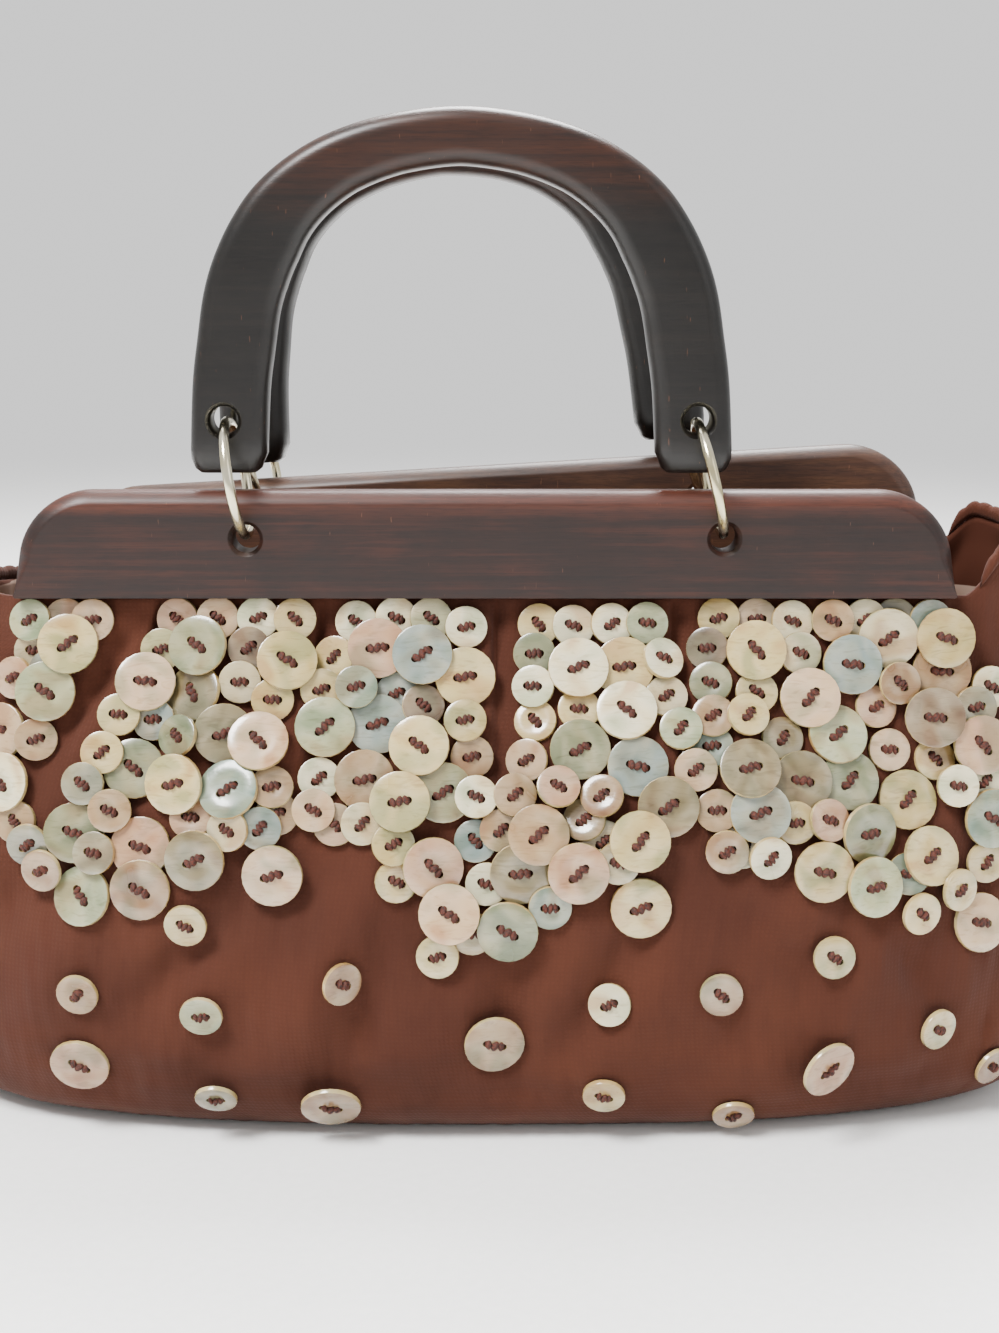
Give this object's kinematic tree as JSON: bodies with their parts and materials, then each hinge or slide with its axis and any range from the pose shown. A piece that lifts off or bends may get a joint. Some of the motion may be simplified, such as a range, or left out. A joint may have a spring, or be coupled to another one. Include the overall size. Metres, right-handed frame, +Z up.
{
  "type": "handbag",
  "caption": "gathered cloth handbag hung under two long wooden bars, with arched wooden handles on metal rings and two-hole shell buttons clustered over its front",
  "frame": {"origin": "on the flat base, in the middle of its length and depth", "axes": "+Z up, the button front faces -Y, +X runs along the front bar to the right as seen from the front"},
  "size_m": [0.3848, 0.1442, 0.3132],
  "materials": {
    "cloth": "fine crinkled red-brown weave",
    "front_bar_wood": "dark red-brown, worn satin",
    "back_bar_wood": "warm brown, satin",
    "handle_wood": "near-black brown, soft gloss",
    "ring_metal": "pale gold nickel",
    "shell": "pearly, in cream, sage, grey, pink and tan"
  },
  "bodies": {
    "bag": {"bag_body": "cloth", "mouth_hem_left": "cloth", "mouth_hem_right": "cloth", "frame_bar_front": "front_bar_wood", "frame_bar_back": "back_bar_wood", "button_cluster_far_left": "shell", "button_cluster_left": "shell", "button_cluster_middle": "shell", "button_cluster_right": "shell", "button_cluster_far_right": "shell", "button_01": "shell", "button_02": "shell", "button_03": "shell", "button_04": "shell", "button_05": "shell", "button_06": "shell", "button_07": "shell", "button_08": "shell", "button_09": "shell", "button_10": "shell", "button_11": "shell", "button_12": "shell", "button_13": "shell", "button_14": "shell", "button_15": "shell", "button_16": "shell", "button_17": "shell", "button_18": "shell", "button_19": "shell", "button_20": "shell", "button_21": "shell", "button_22": "shell", "button_23": "shell", "button_24": "shell", "button_25": "shell", "button_26": "shell", "button_27": "shell", "button_28": "shell", "button_29": "shell", "button_30": "shell", "button_31": "shell", "button_32": "shell", "button_33": "shell", "button_34": "shell", "button_35": "shell", "button_36": "shell", "button_37": "shell", "button_38": "shell", "button_39": "shell", "button_40": "shell"},
    "front_handle": {"handle_front": "handle_wood", "ring_front_left": "ring_metal", "ring_front_right": "ring_metal"},
    "back_handle": {"handle_back": "handle_wood", "ring_back_left": "ring_metal", "ring_back_right": "ring_metal"}
  },
  "joints": [
    {"name": "front_handle_swing", "type": "hinge", "parent": "bag", "child": "front_handle", "pos_m": [0, -0.03, 0.2038], "axis": [1, 0, 0], "range_deg": [-10, 35]},
    {"name": "back_handle_swing", "type": "hinge", "parent": "bag", "child": "back_handle", "pos_m": [-0.0014, 0.03201, 0.2042], "axis": [0.9921, -0.1043, 0.0698], "range_deg": [-25, 10]}
  ]
}
